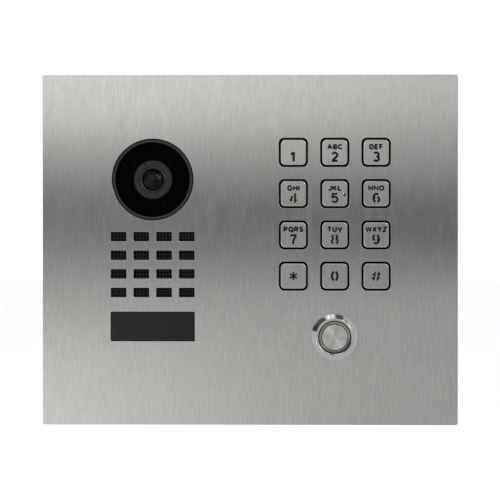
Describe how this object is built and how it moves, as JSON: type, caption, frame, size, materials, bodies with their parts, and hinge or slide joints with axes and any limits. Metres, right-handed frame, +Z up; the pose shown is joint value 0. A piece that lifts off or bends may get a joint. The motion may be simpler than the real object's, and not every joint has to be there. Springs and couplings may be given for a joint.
{
  "type": "door intercom panel",
  "caption": "Flush-mounted door intercom panel with a brushed steel plate, camera, speaker grille, reader window, sprung telephone keypad and call button over a wall box.",
  "frame": {"origin": "centre of the front plate's rear face, on the wall's surface", "axes": "+X to the right seen from the front, +Y into the wall, +Z up; the front faces -Y"},
  "size_m": [0.184, 0.0526, 0.155],
  "materials": {
    "plate_steel": "vertical brushed",
    "key_steel": "satin",
    "bright_steel": "polished",
    "fastener_steel": "zinc plated",
    "spring_steel": "satin",
    "black_plastic": "fine grain",
    "gloss_black": "satin",
    "window_plastic": "polished, dark tinted",
    "lens_black": "anodised look",
    "clear_cover": "polished",
    "lens_glass": "coated",
    "sensor": "polished",
    "black_rubber": "matte",
    "silicone": "matte",
    "mesh_black": "woven",
    "circuit_board": "solder resist",
    "chip_black": "moulded",
    "brass_fitting": "turned",
    "copper": "etched track",
    "relay_blue": "moulded",
    "can_metal": "sleeved",
    "terminal_green": "moulded",
    "socket_metal": "tin plated",
    "cone_film": "film",
    "magnet_metal": "plated",
    "basket_metal": "black",
    "ribbon_white": "film",
    "box_grey": "moulded grain"
  },
  "bodies": {
    "panel": {"front_plate": "plate_steel", "weld_studs": "fastener_steel", "snap_clips": "spring_steel", "panel_gasket": "black_rubber", "grille_mesh": "mesh_black", "reader_window": "window_plastic", "camera_ring": "gloss_black", "camera_cover": "clear_cover", "camera_shroud": "black_plastic", "lens_barrel": "lens_black", "front_lens": "lens_glass", "lens_lock_ring": "fastener_steel", "lens_holder": "black_plastic", "image_sensor": "sensor", "camera_board": "circuit_board", "standoffs": "brass_fitting", "module_screws": "fastener_steel", "speaker_gasket": "black_rubber", "speaker_bracket": "black_plastic", "speaker_frame": "basket_metal", "speaker_cone": "cone_film", "speaker_magnet": "magnet_metal", "microphone": "can_metal", "microphone_boot": "black_rubber", "reader_board": "circuit_board", "antenna_coil": "copper", "keypad_frame": "black_plastic", "keypad_mat": "silicone", "keypad_board": "circuit_board", "call_button_housing": "bright_steel", "call_button_spring": "spring_steel", "call_button_seal": "black_rubber", "call_button_nut": "fastener_steel", "call_button_switch": "black_plastic", "chassis": "black_plastic", "stud_nuts": "fastener_steel", "rear_cover": "black_plastic", "case_screws": "fastener_steel", "main_board": "circuit_board", "board_chips": "chip_black", "relays": "relay_blue", "capacitors": "can_metal", "terminal_block": "terminal_green", "network_socket": "socket_metal", "ribbon_cables": "ribbon_white", "back_box": "box_grey", "cable_grommet": "black_rubber"},
    "key_1": {"key_1": "key_steel"},
    "key_2": {"key_2": "key_steel"},
    "key_3": {"key_3": "key_steel"},
    "key_4": {"key_4": "key_steel"},
    "key_5": {"key_5": "key_steel"},
    "key_6": {"key_6": "key_steel"},
    "key_7": {"key_7": "key_steel"},
    "key_8": {"key_8": "key_steel"},
    "key_9": {"key_9": "key_steel"},
    "key_star": {"key_star": "key_steel"},
    "key_0": {"key_0": "key_steel"},
    "key_hash": {"key_hash": "key_steel"},
    "call_button_cap": {"call_button_cap": "key_steel"}
  },
  "joints": [
    {"name": "key_1_press", "type": "slide", "parent": "panel", "child": "key_1", "axis": [0, 1, 0], "range_m": [0, 0.0008], "stiffness_N_per_m": 1500, "springref_m": -0.0005, "deforming": ["keypad_mat"]},
    {"name": "key_2_press", "type": "slide", "parent": "panel", "child": "key_2", "axis": [0, 1, 0], "range_m": [0, 0.0008], "stiffness_N_per_m": 1500, "springref_m": -0.0005, "deforming": ["keypad_mat"]},
    {"name": "key_3_press", "type": "slide", "parent": "panel", "child": "key_3", "axis": [0, 1, 0], "range_m": [0, 0.0008], "stiffness_N_per_m": 1500, "springref_m": -0.0005, "deforming": ["keypad_mat"]},
    {"name": "key_4_press", "type": "slide", "parent": "panel", "child": "key_4", "axis": [0, 1, 0], "range_m": [0, 0.0008], "stiffness_N_per_m": 1500, "springref_m": -0.0005, "deforming": ["keypad_mat"]},
    {"name": "key_5_press", "type": "slide", "parent": "panel", "child": "key_5", "axis": [0, 1, 0], "range_m": [0, 0.0008], "stiffness_N_per_m": 1500, "springref_m": -0.0005, "deforming": ["keypad_mat"]},
    {"name": "key_6_press", "type": "slide", "parent": "panel", "child": "key_6", "axis": [0, 1, 0], "range_m": [0, 0.0008], "stiffness_N_per_m": 1500, "springref_m": -0.0005, "deforming": ["keypad_mat"]},
    {"name": "key_7_press", "type": "slide", "parent": "panel", "child": "key_7", "axis": [0, 1, 0], "range_m": [0, 0.0008], "stiffness_N_per_m": 1500, "springref_m": -0.0005, "deforming": ["keypad_mat"]},
    {"name": "key_8_press", "type": "slide", "parent": "panel", "child": "key_8", "axis": [0, 1, 0], "range_m": [0, 0.0008], "stiffness_N_per_m": 1500, "springref_m": -0.0005, "deforming": ["keypad_mat"]},
    {"name": "key_9_press", "type": "slide", "parent": "panel", "child": "key_9", "axis": [0, 1, 0], "range_m": [0, 0.0008], "stiffness_N_per_m": 1500, "springref_m": -0.0005, "deforming": ["keypad_mat"]},
    {"name": "key_star_press", "type": "slide", "parent": "panel", "child": "key_star", "axis": [0, 1, 0], "range_m": [0, 0.0008], "stiffness_N_per_m": 1500, "springref_m": -0.0005, "deforming": ["keypad_mat"]},
    {"name": "key_0_press", "type": "slide", "parent": "panel", "child": "key_0", "axis": [0, 1, 0], "range_m": [0, 0.0008], "stiffness_N_per_m": 1500, "springref_m": -0.0005, "deforming": ["keypad_mat"]},
    {"name": "key_hash_press", "type": "slide", "parent": "panel", "child": "key_hash", "axis": [0, 1, 0], "range_m": [0, 0.0008], "stiffness_N_per_m": 1500, "springref_m": -0.0005, "deforming": ["keypad_mat"]},
    {"name": "call_button_press", "type": "slide", "parent": "panel", "child": "call_button_cap", "axis": [0, 1, 0], "range_m": [0, 0.0012], "stiffness_N_per_m": 2000, "springref_m": -0.001, "deforming": ["call_button_spring"]}
  ]
}
